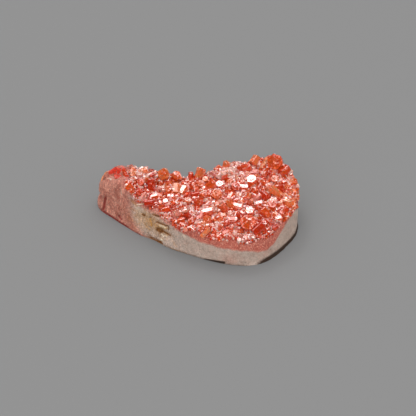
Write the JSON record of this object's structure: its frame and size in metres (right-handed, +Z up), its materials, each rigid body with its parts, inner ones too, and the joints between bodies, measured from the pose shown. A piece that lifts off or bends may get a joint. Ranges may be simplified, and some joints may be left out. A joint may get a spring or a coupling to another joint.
{
  "type": "mineral specimen",
  "caption": "small cut slab of pale host rock with a druzy crust of packed hexagonal vanadinite crystals on its upper face, resting on a flat sawn base",
  "frame": {"origin": "the point under the middle of the bounding box, on the surface that the slab rests on", "axes": "+X along the slab towards its wide end, +Z up from the flat base, +Y away from the front of the stone"},
  "size_m": [0.037, 0.0214, 0.01],
  "materials": {
    "matrix": "matte",
    "vanadinite_crust": "gloss"
  },
  "bodies": {
    "root": {"matrix": "matrix", "vanadinite_crust": "vanadinite_crust"}
  },
  "joints": []
}
